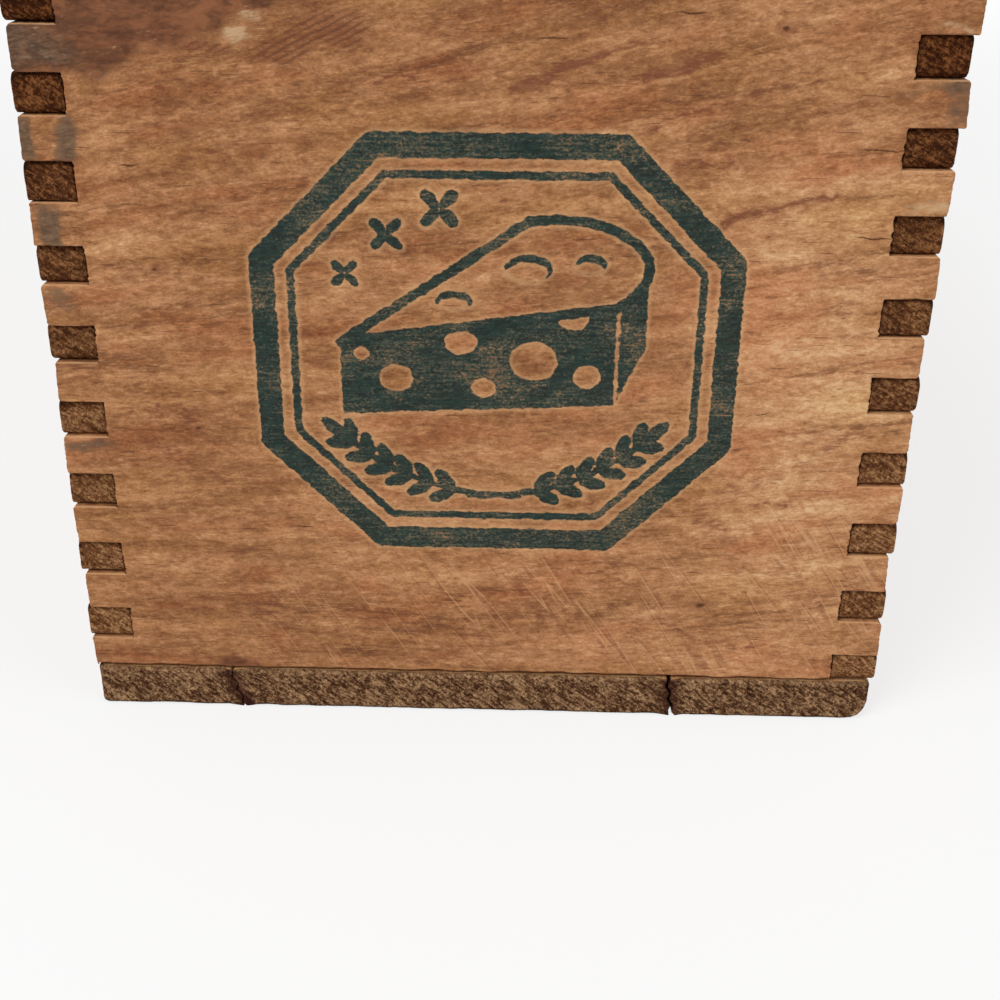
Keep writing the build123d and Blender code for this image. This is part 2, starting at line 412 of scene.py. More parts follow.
def board_at(node, along, across, through, side, seed, **more):
    """A board's axes, the way its outer face looks and its level, from the frame."""
    low, high = node_box(node)
    whole = ((low[along], low[across]), (high[along], high[across]), coarse_step)
    board = dict(
        node=node, along=along, across=across, through=through, side=side, seed=seed,
        face=(high if side > 0 else low)[through], thickness=(high - low)[through],
        low=low, high=high, splits=(), dark_rims=1.8, stamped=False, wear=wall_wear,
        fields=None, drawn=(), zones=[whole], back_zones=[whole],
    )
    board.update(more)
    return board


def add_object(name, data):
    """An object in the scene that holds this data."""
    thing = bpy.data.objects.new(name, data)
    bpy.context.scene.collection.objects.link(thing)
    return thing


def face_outwards(mesh):
    """Turns a mesh's faces outwards and drops its loose points."""
    bm = bmesh.new()
    bm.from_mesh(mesh)
    loose = [v for v in bm.verts if not v.link_faces]
    bmesh.ops.delete(bm, geom=loose, context="VERTS")
    bmesh.ops.recalc_face_normals(bm, faces=bm.faces)
    bm.to_mesh(mesh)
    bm.free()


def add_values(mesh, name, values):
    """A number for each of a mesh's points, for its materials."""
    layer = mesh.attributes.new(name, "FLOAT", "POINT")
    layer.data.foreach_set("value", values.astype(np.float32))


def new_piece(name, points, faces, kinds, attributes):
    """A mesh object at the origin, with its points given in millimetres."""
    mesh = bpy.data.meshes.new(name)
    mesh.from_pydata(points * MM, [], faces)
    mesh.polygons.foreach_set("material_index", kinds)
    mesh.shade_smooth()
    for key, values in attributes.items():
        add_values(mesh, key, values)
    face_outwards(mesh)
    # lit: how far each point lies on a rounded edge facing up (above 0) or down (below 0); the
    # materials use it to paint highlight and shade on edges
    edge = np.zeros(len(mesh.vertices), np.float32)
    mesh.attributes["edge"].data.foreach_get("value", edge)
    upward = np.array([normal.vector.z for normal in mesh.vertex_normals])
    add_values(mesh, "lit", edge * upward)
    return add_object(name, mesh)


def carve(piece, cutters):
    """Takes closed shapes, given as (points, faces), out of a piece."""
    mesh = bpy.data.meshes.new("cutter")
    points, faces = [], []
    for shape_points, shape_faces in cutters:
        faces += [[v + len(points) for v in face] for face in shape_faces]
        points += list(shape_points)
    mesh.from_pydata(np.array(points) * MM, [], faces)
    face_outwards(mesh)
    cutter = add_object("cutter", mesh)
    taking = piece.modifiers.new("taking", "BOOLEAN")
    taking.operation = "DIFFERENCE"
    taking.solver = "EXACT"
    taking.object = cutter
    bpy.context.view_layer.update()
    shown = piece.evaluated_get(bpy.context.evaluated_depsgraph_get())
    made = bpy.data.meshes.new_from_object(shown)
    piece.modifiers.clear()
    piece.data = made
    bpy.data.objects.remove(cutter)


def block_shape(low, high):
    """A box as points and faces."""
    points = list(product(*zip(low, high)))
    faces = [(0, 1, 3, 2), (4, 6, 7, 5), (0, 4, 5, 1), (2, 3, 7, 6), (0, 2, 6, 4), (1, 5, 7, 3)]
    return points, faces


def round_shape(x, y, low, high, radius):
    """An upright cylinder as points and faces."""
    count = hole_sides
    points = []
    for z in (low, high):
        for k in range(count):
            angle = 2 * math.pi * k / count
            points.append((x + radius * math.cos(angle), y + radius * math.sin(angle), z))
    faces = [tuple(range(count)), tuple(range(count, 2 * count))]
    faces += [(k, (k + 1) % count, count + (k + 1) % count, count + k) for k in range(count)]
    return points, faces


# The stamp, in millimetres from its middle, as distances that are below 0 in the ink


def oval(p, centre, radii, angle=0.0):
    cos, sin = math.cos(angle), math.sin(angle)
    q = p - np.array(centre)
    u = (q[:, 0] * cos + q[:, 1] * sin) / radii[0]
    v = (q[:, 1] * cos - q[:, 0] * sin) / radii[1]
    size = np.hypot(u, v)
    slope = np.hypot(u / radii[0], v / radii[1])
    return size * (size - 1) / np.maximum(slope, 1e-6)


def nearest_on(p, corners):
    """How far points are from a line through corners, and how far along it they are."""
    corners = [np.array(c, float) for c in corners]
    nearest = np.full(len(p), 1e9)
    share = np.zeros(len(p))
    for k, (a, b) in enumerate(zip(corners[:-1], corners[1:])):
        part = np.clip((p - a) @ (b - a) / ((b - a) @ (b - a)), 0, 1)
        away = np.linalg.norm(p - a - part[:, None] * (b - a), axis=1)
        share = np.where(away < nearest, (k + part) / (len(corners) - 1), share)
        nearest = np.minimum(nearest, away)
    return nearest, share


def stroke(p, corners, width):
    """A line of some width through corners."""
    return nearest_on(p, corners)[0] - width / 2


def polygon(p, corners):
    """A filled outline."""
    closed = list(corners) + [corners[0]]
    inside = np.zeros(len(p), bool)
    for (ax, ay), (bx, by) in zip(closed[:-1], closed[1:]):
        if ay != by:
            spans = (ay > p[:, 1]) != (by > p[:, 1])
            inside ^= spans & (p[:, 0] < ax + (bx - ax) * (p[:, 1] - ay) / (by - ay))
    edge = stroke(p, closed, 0)
    return np.where(inside, -edge, edge)


def join(*shapes):
    return np.minimum.reduce(shapes)


def cut(shape, *holes):
    return np.maximum(shape, -join(*holes))


def bend(start, middle, stop, count):
    """Points along a curve that leaves start towards middle and ends at stop."""
    start, middle, stop = (np.array(c, float) for c in (start, middle, stop))
    shares = np.linspace(0, 1, count)[:, None]
    return start * (1 - shares) ** 2 + middle * 2 * shares * (1 - shares) + stop * shares**2


def stamp_frame(p):
    """A bold and a fine eight-sided line round the picture."""
    lines = []
    for inset, corner, width in ((1.4, 13.0, 2.8), (4.6, 11.0, 0.9)):
        w, h = stamp_width / 2 - inset, stamp_height / 2 - inset
        quarter = [(w, corner - h), (w, h - corner), (w - corner, h), (corner - w, h)]
        line = quarter + [(-x, -z) for x, z in quarter]
        lines.append(stroke(p, line + line[:1], width))
    return join(*lines)


def stamp_wedge(p):
    """A wedge of cheese, its cut side and its rind dark and its top bare."""
    tip, near, back = (-18.0, 1.4), (13.8, 5.9), (3.6, 15.8)
    drop = np.array((0.0, -12.0))
    tip_foot, near_foot = np.array(tip) + 0.75 * drop, np.array(near) + drop
    holes = (
        ((-11.6, -3.0), (2.0, 1.7)),
        ((-4.0, 1.5), (1.9, 1.5)),
        ((-1.4, -4.1), (1.5, 1.2)),
        ((4.4, -0.7), (2.8, 2.4)),
        ((10.6, -2.5), (1.6, 1.5)),
        ((8.8, 4.5), (1.8, 1.3)),
        ((-15.6, 0.0), (0.9, 0.8)),
    )
    side = polygon(p, [tip, near, near_foot, tip_foot])
    side = cut(side, *(oval(p, centre, radii) for centre, radii in holes))
    rim = bend(near, (19.6, 9.8), (15.6, 13.4), 9)
    crown = bend((15.6, 13.4), (11.2, 16.8), back, 9)
    rind = polygon(p, [*rim[:6], rim[5] + 0.8 * drop, near_foot])
    rind = cut(rind, stroke(p, [near, near_foot], 0.9))
    top = stroke(p, [tip, *rim, *crown[1:], tip], 1.15)
    pits = []
    for x, z, w, h in ((3.6, 10.4, 2.7, 1.6), (10.6, 11.0, 1.8, 1.1), (-4.8, 6.6, 2.1, 1.1)):
        hollow = oval(p, (x - 0.1, z - 0.45), (w - 0.35, h - 0.4))
        pits.append(cut(oval(p, (x, z), (w, h)), hollow))
    return join(side, rind, top, *pits)


def stamp_ear(p, way):
    """An ear of wheat that curves up and outwards from the foot of the picture."""
    stem = bend((-3.0 * way, -18.2), (9.2 * way, -18.4), (17.4 * way, -11.0), 25)
    shapes = [stroke(p, stem, 0.75)]
    for k in range(8, 25, 3):
        way_on = stem[k] - stem[k - 1]
        angle = math.atan2(way_on[1], way_on[0])
        for turn in (-0.62, 0.62):
            lean = angle + turn
            middle = stem[k] + 1.9 * np.array((math.cos(lean), math.sin(lean)))
            shapes.append(oval(p, middle, (1.65, 0.8), lean))
    last = stem[-1] - stem[-2]
    tip = stem[-1] + 2.4 * last / np.linalg.norm(last)
    shapes.append(oval(p, tip, (1.8, 0.8), math.atan2(last[1], last[0])))
    return join(*shapes)


def stamp_flowers(p):
    """Three four-petalled flowers that climb beside the wedge."""
    shapes = []
    for x, z, size in ((-17.2, 9.6, 0.85), (-12.4, 14.2, 1.0), (-6.4, 17.2, 1.15)):
        for k in range(4):
            turn = math.pi / 4 + k * math.pi / 2
            middle = (x + 1.25 * size * math.cos(turn), z + 1.25 * size * math.sin(turn))
            shapes.append(oval(p, middle, (1.15 * size, 0.62 * size), turn))
    return join(*shapes)


def stamp_distance(p):
    return join(stamp_frame(p), stamp_wedge(p), stamp_ear(p, 1), stamp_ear(p, -1), stamp_flowers(p))


# Materials


def colour(code):
    """A colour written as six hex digits, in linear light."""
    parts = [int(code[i : i + 2], 16) / 255 for i in (0, 2, 4)]
    linear = [c / 12.92 if c <= 0.04045 else ((c + 0.055) / 1.055) ** 2.4 for c in parts]
    return (*linear, 1.0)


def put(tree, value, socket):
    """Links another node's socket to this one, or sets it. Text is a colour's code."""
    if isinstance(value, bpy.types.NodeSocket):
        tree.links.new(value, socket)
    else:
        socket.default_value = colour(value) if isinstance(value, str) else value


def add_node(tree, kind, values=(), **settings):
    """Adds a node with its inputs by name or number, and returns its outputs."""
    node = tree.nodes.new("ShaderNode" + kind)
    for key, value in settings.items():
        setattr(node, key, value)
    for key, value in dict(values).items():
        put(tree, value, node.inputs[key])
    return node.outputs


class Shader:
    """A material whose nodes are added from code."""

    def __init__(self, name):
        self.material = bpy.data.materials.new(name)
        self.material.use_nodes = True
        self.tree = self.material.node_tree
        self.surface = self.tree.nodes["Principled BSDF"]
        self.place = self.scaled(self.node("TexCoord")["Object"], (1 / MM,) * 3)
        self.axes = self.split(self.place)

    def node(self, kind, values=(), **settings):
        return add_node(self.tree, kind, values, **settings)

    def split(self, place):
        return self.node("SeparateXYZ", {0: place})

    def vector(self, *values):
        return self.node("CombineXYZ", enumerate(values))[0]

    def scaled(self, place, scale):
        return self.node("VectorMath", {0: place, 1: scale}, operation="MULTIPLY")[0]

    def math(self, operation, *values):
        return self.node("Math", enumerate(values), operation=operation)[0]

    def lean(self, u, v, degrees):
        """How far along a line that leans this much from the first axis to the second."""
        angle = math.radians(degrees)
        return self.add(self.times(u, math.cos(angle)), self.times(v, math.sin(angle)))

    def fold(self, operation, values):
        """All the values together, one after another."""
        total = values[0]
        for value in values[1:]:
            total = self.math(operation, total, value)
        return total

    def add(self, *values):
        return self.fold("ADD", values)

    def times(self, *values):
        return self.fold("MULTIPLY", values)

    def most(self, *values):
        return self.fold("MAXIMUM", values)

    def swing(self, value, reach):
        """A value of 0 to 1 as one that swings round 0, reach from end to end."""
        return self.math("MULTIPLY_ADD", value, reach, -reach / 2)

    def noise(self, place, scale, detail=2.0, rough=0.5, warp=0.0):
        """Noise from 0 to 1. scale is three lumps-per-millimetre figures."""
        values = {"Vector": self.scaled(place, scale), "Scale": 1.0, "Detail": detail}
        values.update({"Roughness": rough, "Distortion": warp})
        return self.node("TexNoise", values)["Fac"]

    def ease(self, value, low, high):
        """0 below low and 1 above high, or the other way round, with a smooth step."""
        values = {"Value": value, "From Min": min(low, high), "From Max": max(low, high)}
        values.update({"To Min": float(low > high), "To Max": float(low < high)})
        return self.node("MapRange", values, interpolation_type="SMOOTHSTEP")["Result"]

    def ridge(self, value, width):
        """1 along the lines where a noise crosses its middle."""
        return self.ease(self.math("ABSOLUTE", self.swing(value, 1.0)), width, 0.0)

    def mark(self, place, middle, reach, tilt):
        """1 inside a soft oval at middle, fading to 0 at its rim."""
        values = {"Vector": place, "Location": (*middle, 0), "Scale": (*reach, 1)}
        values["Rotation"] = (0, 0, math.radians(tilt))
        moved = self.node("Mapping", values, vector_type="TEXTURE")[0]
        size = self.node("VectorMath", {0: moved}, operation="LENGTH")["Value"]
        return self.ease(size, 1.0, 0.35)

    def blend(self, share, first, second, way="MIX"):
        """A mix of two colours."""
        values = {0: share, 6: first, 7: second}
        return self.node("Mix", values, data_type="RGBA", blend_type=way)[2]

    def lay(self, stain, tint, *shares):
        """A colour with another laid over it, as thick as the shares together say."""
        return self.blend(self.times(*shares), tint, stain)

    def dye(self, share, tint, stain):
        """A colour multiplied by another."""
        return self.blend(share, tint, stain, "MULTIPLY")

    def level(self, share, first, second):
        """A mix of two numbers."""
        return self.node("Mix", {0: share, 2: first, 3: second})[0]

    def ramp(self, value, *stops):
        """Colours in order along a value of 0 to 1."""
        node = self.tree.nodes.new("ShaderNodeValToRGB")
        put(self.tree, value, node.inputs[0])
        marks = node.color_ramp.elements
        marks[0].position, marks[1].position = stops[0][0], stops[-1][0]
        for place, _ in stops[1:-1]:
            marks.new(place)
        for spot, (_, tint) in zip(marks, stops):
            spot.color = colour(tint)
        return node.outputs[0]

    def value(self, name):
        return self.node("Attribute", attribute_name=name)["Fac"]

    def finish(self, tint, roughness, height, depth, shine, metallic=0.0):
        """Sets the surface. depth is the height's full reach in millimetres."""
        bump = self.node("Bump", {"Height": height, "Distance": depth * MM})[0]
        values = {"Base Color": tint, "Roughness": roughness, "Normal": bump}
        values.update({"Specular IOR Level": shine, "Metallic": metallic})
        for name, value in values.items():
            put(self.tree, value, self.surface.inputs[name])
        return self.material


def grain_place(s, board, look):
    """Millimetres along, across and through a board, for patterns: plain, and as the
    figure lies, which climbs along the grain and wanders a little."""
    along = s.axes[board["along"]]
    across = s.axes[board["across"]]
    through = s.axes[board["through"]]
    shift = 137.0 * board["seed"]
    sway = s.noise(s.place, (look["sway_size"],) * 3, 1.0)
    middle = (board["low"][board["across"]] + board["high"][board["across"]]) / 2
    twist = s.times(s.add(across, -middle), -look["twist"])
    climb = s.times(along, s.add(twist, -look["slope"]))
    level = s.add(across, s.swing(sway, look["sway"]), climb, shift)
    plain = s.vector(s.add(along, shift), across, through)
    return plain, s.vector(along, level, through)


def planed(name, board, look, ink=False):
    """Planed pine: mottled, with a darker figure, wisps, fibres, stains and wear, and a painted
    highlight and shade on its rounded edges.
    """
    s = Shader(name)
    fields = board["drawn"]
    plain, figure = grain_place(s, board, look)
    cloud = s.noise(figure, look["cloud_size"], 3.0, 0.6, 0.5)
    mottle = s.noise(plain, (0.33, 0.62, 0.5), 4.0, 0.7)
    blotch = s.noise(plain, (0.8, 1.7, 1.2), 2.0, 0.55, 0.5)
    fibre = s.noise(figure, (0.8, 2.7, 1.8), 3.0, 0.68)
    grit = s.noise(plain, (2.8, 4.2, 3.0), 2.0, 0.65)
    wisps = s.noise(figure, look["wisp_size"], 2.0, 0.5, 0.6)
    ticks = s.noise(plain, (0.26, 4.4, 1.0), 1.0, 0.5)
    hairs = s.noise(figure, (0.4, 5.0, 1.5), 1.0, 0.5)
    drift = s.add(s.swing(cloud, look["cloud"]), s.swing(mottle, look["mottle"]))
    detail = s.add(s.swing(fibre, 0.8), s.swing(grit, 0.75), s.swing(blotch, 0.75))
    tone = s.add(look["tone"], drift, detail)
    if "tone" in fields:
        tone = s.add(tone, s.value("tone"))
    stops = (
        (0.0, look["bright"]),
        (0.15, look["light"]),
        (0.374, look["pale"]),
        (0.646, look["mid"]),
        (0.95, look["streak"]),
    )
    figured = s.ramp(s.add(s.swing(tone, 0.8), 0.55), *stops)
    blush = s.noise(figure, (0.05, 0.15, 0.1), 3.0, 0.6)
    tint = s.dye(s.ease(blush, 0.5, 0.66), figured, "f9eae4")
    tint = s.dye(s.ease(blush, 0.5, 0.34), tint, "fcfcf2")
    wisp = s.times(s.ridge(wisps, 0.045), s.ease(cloud, 0.44, 0.6), s.ease(fibre, 0.35, 0.6))
    tint = s.lay(look["deep"], tint, wisp, look["wisps"])
    tick = s.times(s.ease(ticks, 0.66, 0.74), s.ease(mottle, 0.4, 0.55))
    dots = s.times(s.ease(blotch, 0.66, 0.78), s.ease(fibre, 0.4, 0.6))
    tint = s.lay(look["deep"], tint, s.most(tick, dots), 0.65)
    tint = s.lay(look["light"], tint, s.ease(hairs, 0.66, 0.76), 0.4)
    height = s.add(s.times(fibre, 0.5), s.times(grit, 0.25), s.times(mottle, 0.5))
    if "streak" in fields:
        drawn = s.add(s.value("streak"), s.swing(fibre, 1.1), s.swing(mottle, 0.8))
        tint = s.lay(look["drawn"], tint, s.ease(drawn, 0.3, 0.95), 0.78)
    if "scuff" in fields:
        tint = saw_marks(s, plain, look, fibre, tint)
        tint = plane_marks(s, plain, look, mottle, tint)
    if look["marks"]:
        tint = small_marks(s, board, look, mottle, tint)
    if "stain" in fields:
        drips = s.noise(plain, (0.22, 0.5, 0.5), 3.0, 0.6, 0.8)
        ragged = s.add(s.swing(drips, 1.5), s.swing(blotch, 0.7), s.swing(fibre, 0.5))
        dirt = s.blend(s.ease(s.add(0.5, ragged), 0.2, 0.85), look["stain"], look["stain_pale"])
        stained = s.add(s.value("stain"), s.times(ragged, -0.6))
        tint = s.lay(dirt, tint, s.ease(stained, 0.1, 0.8), 0.88)
    if "grey" in fields:
        weathered = s.add(s.value("grey"), s.swing(mottle, 0.6), s.swing(fibre, 0.6))
        shades = s.add(blotch, s.swing(fibre, 0.8), s.swing(grit, 0.5))
        grey = s.blend(s.ease(shades, 0.25, 0.75), look["grey"], look["grey_pale"])
        tint = s.lay(grey, tint, s.ease(weathered, 0.1, 0.8), 0.85)
    if "pale" in fields:
        rubbed = s.add(s.value("pale"), s.swing(fibre, 2.2), s.swing(grit, 0.8))
        tint = s.lay(look["rubbed"], tint, s.ease(rubbed, 0.2, 1.1), 0.8)
    # Rounded edges that face up are paler, partly as wear and partly as a painted highlight; edges
    # that face down get a painted shade in the deep colour
    lit = s.value("lit")
    worn = s.times(s.ease(lit, 0.3, 0.85), s.ease(mottle, 0.25, 0.5))
    tint = s.lay(look["light"], tint, worn, 0.75)
    tint = s.lay(look["deep"], tint, s.ease(lit, -0.2, -0.8), 0.5)
    rough = s.level(fibre, 0.55, 0.85)
    if ink:
        tint, inside = stamp_ink(s, plain, tint, fibre)
        rough = s.level(inside, rough, 0.95)
    return s.finish(tint, rough, height, look["relief"], 0.2)


def saw_marks(s, plain, look, fibre, tint):
    """Slanting saw marks: thin pale lines, some with a reddish band beside them."""
    steep = -57
    u, v, _ = s.split(plain)
    lying = s.vector(s.lean(u, v, steep), s.lean(u, v, steep + 90), 0.0)
    lines = s.noise(lying, (0.022, 0.42, 1.0), 1.0, 0.6)
    broken = s.noise(lying, (0.16, 0.5, 1.0), 2.0, 0.6)
    shown = s.times(s.value("scuff"), s.ease(broken, 0.42, 0.56))
    band = s.times(s.ease(lines, 0.505, 0.53), s.ease(lines, 0.58, 0.54), s.ease(fibre, 0.3, 0.6))
    tint = s.lay(look["drawn"], tint, band, shown, 0.5)
    return s.lay(look["light"], tint, s.ridge(lines, 0.016), shown, 0.55)


def plane_marks(s, plain, look, mottle, tint):
    """Close dark stripes that a blunt plane left, slanting up across the grain."""
    rise = 26
    spacing = 0.66
    u, v, _ = s.split(plain)
    away = s.lean(u, v, rise + 90)
    wave = s.math("SINE", s.times(s.add(away, s.swing(mottle, 0.8)), 2 * math.pi / spacing))
    shown = s.ease(s.add(s.value("comb"), s.swing(mottle, 0.8)), 0.25, 0.8)
    tint = s.lay(look["drawn"], tint, shown, 0.35)
    return s.lay(look["deep"], tint, s.ease(wave, -0.1, 0.8), shown, 0.55)


def small_marks(s, board, look, mottle, tint):
    """Knots with their halos, and hair cracks."""
    across = s.add(s.axes[board["across"]], s.swing(mottle, 1.0))
    flat = s.vector(s.axes[board["along"]], across, 0.0)
    halos, holes = [], []
    for middle, size in look["marks"]["knots"]:
        halos.append(s.mark(flat, middle, (3.2 * size, 1.8 * size), 8))
        holes.append(s.mark(flat, middle, (size, 0.62 * size), 8))
    for middle, length, tilt in look["marks"]["cracks"]:
        holes.append(s.mark(flat, middle, (length / 2, 0.14), tilt))
    tint = s.lay(look["drawn"], tint, s.most(*halos), 0.4)
    return s.lay(look["hole"], tint, s.most(*holes), 0.85)


def stamp_ink(s, plain, tint, fibre):
    """Worn dark green ink over the wood, with crisp but uneven edges."""
    distance = s.value("ink")
    wander = s.noise(plain, (0.9, 1.3, 1.0), 3.0, 0.6)
    bleed = s.add(distance, s.swing(wander, 0.75))
    inside = s.ease(bleed, 0.07, -0.07)
    worn = s.noise(plain, (0.14, 0.2, 0.2), 3.0, 0.6)
    speckle = s.noise(plain, (3.0, 3.8, 3.0), 2.0, 0.7)
    thinned = s.ease(s.add(speckle, s.swing(worn, 0.9), s.swing(fibre, 0.5)), 0.62, 0.86)
    scrapes = s.noise(plain, (0.28, 3.4, 1.0), 2.0, 0.6)
    bare = s.ease(s.add(scrapes, s.swing(worn, 0.5)), 0.7, 0.78)
    missing = s.most(s.times(thinned, 0.7), s.times(bare, 0.6))
    cover = s.times(inside, s.math("SUBTRACT", 0.97, missing))
    halo = s.times(s.ease(bleed, 0.6, 0.12), s.ease(bleed, -0.1, 0.1))
    tint = s.lay("d9ad7c", tint, halo, 0.3)
    ink = s.blend(s.ease(fibre, 0.3, 0.75), "0e2323", "263f3a")
    faded = s.add(s.times(speckle, 0.6), s.times(scrapes, 0.4), s.swing(worn, 0.5))
    ink = s.lay("6f6c58", ink, s.ease(faded, 0.45, 0.68), 0.6)
    return s.blend(cover, tint, ink), inside


def end_grain(name, board, look):
    """Rough sawn end grain: dark, with pale torn fibres and pits, and a painted highlight and
    shadow on its rounded edges.
    """
    s = Shader(name)
    across = s.axes[board["across"]]
    through = s.axes[board["through"]]
    high = s.ease(s.axes[Z], look["foot"], look["head"])
    lumps = s.noise(s.place, (0.3, 0.3, 0.3), 2.0)
    grit = s.noise(s.place, (2.3, 2.3, 2.3), 4.0, 0.7, 0.5)
    curls = s.noise(s.place, (1.0, 1.0, 1.0), 2.0, 0.6, 1.4)
    down = s.lean(across, through, look["lean"])
    beside = s.lean(across, through, look["lean"] + 90)
    lying = s.vector(down, beside, s.axes[board["along"]])
    slanted = s.noise(lying, (0.65, 2.7, 1.1), 3.0, 0.65, 0.4)
    strands = s.swing(s.ease(s.add(slanted, s.swing(grit, 0.35)), 0.3, 0.7), look["fibres"])
    curl = s.times(s.ridge(curls, 0.06), s.ease(grit, 0.38, 0.6))
    rough = s.add(s.swing(grit, look["grit"]), s.swing(lumps, look["lumps"]))
    tone = s.add(look["tone"], rough, strands, s.times(curl, look["curls"]))
    dark = s.blend(high, look["low_dark"], look["high_dark"])
    tan = s.blend(high, look["low_pale"], look["high_pale"])
    tint = s.blend(s.ease(tone, -0.15, 0.45), look["pit_and_shadow"], dark)
    tint = s.blend(s.ease(tone, 0.3, 1.15), tint, tan)
    for place, _, _, lean in board["splits"]:
        slant = s.times(s.add(s.axes[Z], -board["thickness"] / 2), lean / board["thickness"])
        away = s.math("ABSOLUTE", s.add(across, slant, -place, s.swing(lumps, 1.5)))
        tint = s.lay(look["rot"], tint, s.ease(away, 2.0, 0.2), 0.8)
    # Rounded edges that face up are paled by the rim strength, partly as wear and partly as a
    # painted highlight; edges that face the way shade says get the pit colour as a painted shadow
    lit = s.value("lit")
    worn = s.times(s.ease(lit, 0.0, 0.6), s.ease(grit, 0.3, 0.6))
    tint = s.lay(tan, tint, worn, look["rim"])
    shaded = s.ease(s.times(lit, look["shade"]), 0.05, 0.5)
    tint = s.lay(look["pit_and_shadow"], tint, shaded, 0.7)
    relief = s.add(s.times(grit, 0.8), s.times(slanted, 0.7), s.times(curls, -0.3))
    return s.finish(tint, 0.9, relief, look["relief"], 0.04)


# Colours and strengths of planed pine, of the cleaner pine inside the box, and of end
# grain
pine = dict(
    bright="ddb48a", light="d0a073", pale="b9845a", mid="98663f", streak="744427",
    deep="5b3420", drawn="743f2a", stain="4a2819", stain_pale="875436", grey="46362a",
    grey_pale="745d48", rubbed="c8a680", hole="47230f", tone=0.54, cloud=1.1,
    cloud_size=(0.03, 0.2, 0.1), mottle=0.9, wisps=0.55, wisp_size=(0.016, 0.26, 0.1),
    slope=0.0, twist=0.0, sway=9.0, sway_size=0.012, relief=0.12, marks=None,
)
inside_pine = dict(
    pine, bright="e4c29b", light="d9b186", pale="c69a6c", mid="ab7c50", streak="8a5d3a",
    deep="744a2e", tone=0.42, wisps=0.4, sway=6.0, sway_size=0.007,
    cloud_size=(0.014, 0.17, 0.1), wisp_size=(0.008, 0.24, 0.1),
)
# In end grain, rim is how strongly edges facing up are paled, partly as wear and partly as a
# painted highlight; shade 1 puts a painted shadow on edges facing up, -1 on edges facing down, in
# the pit colour, also used for the deepest pits
sawn = dict(
    foot=5.0, head=95.0, lean=-58.0, tone=0.46, grit=0.9, fibres=0.5, curls=0.3,
    rim=0.0, shade=1.0, low_dark="75492c", low_pale="cb9d6d", high_dark="3a1b0c",
    high_pale="91582f", pit_and_shadow="23140d", rot="3b1d17", lumps=0.5, relief=0.45,
)


# Where the front end panel is stained, streaked and worn, in millimetres from the
# middle of its foot, across and up


def patches(p, places, power=2):
    """Soft patches added up: middle across and up, reach across and up, strength. They
    are ovals at power 2, and nearly oblong at 4."""
    total = np.zeros(len(p))
    for x, z, reach_x, reach_z, strength in places:
        u, v = np.abs(p[:, 0] - x) / reach_x, np.abs(p[:, 1] - z) / reach_z
        total += strength * np.exp(-(u**power) - v**power)
    return total


def strokes(p, lines):
    """Soft lines that taper to their ends, the strongest of them: width, strength and
    the corners they follow."""
    total = np.zeros(len(p))
    for width, strength, corners in lines:
        nearest, share = nearest_on(p, corners)
        taper = 0.3 + 0.7 * np.sqrt(np.sin(math.pi * np.clip(share, 0.01, 0.99)))
        total = np.maximum(total, strength * np.clip(1.15 - nearest / (width * taper), 0, 1))
    return total


# Darker and paler patches: middle across and up, reach across and up, strength
front_tones = (
    (40, 42, 15, 30, -0.4), (32, 74, 18, 10, 0.04), (30, 8, 25, 10, -0.1), (0, 84, 40, 9, 0.1),
    (-4, 24, 15, 11, -0.12), (-42, 58, 4, 26, -0.12), (-34, 66, 9, 6, 0.15),
    (-17.5, 79.8, 6, 2.4, 0.22), (-50, 68, 4, 5, 0.1), (-38, 33, 8, 6, 0.12),
    (-30, 5, 18, 8, 0.06),
)

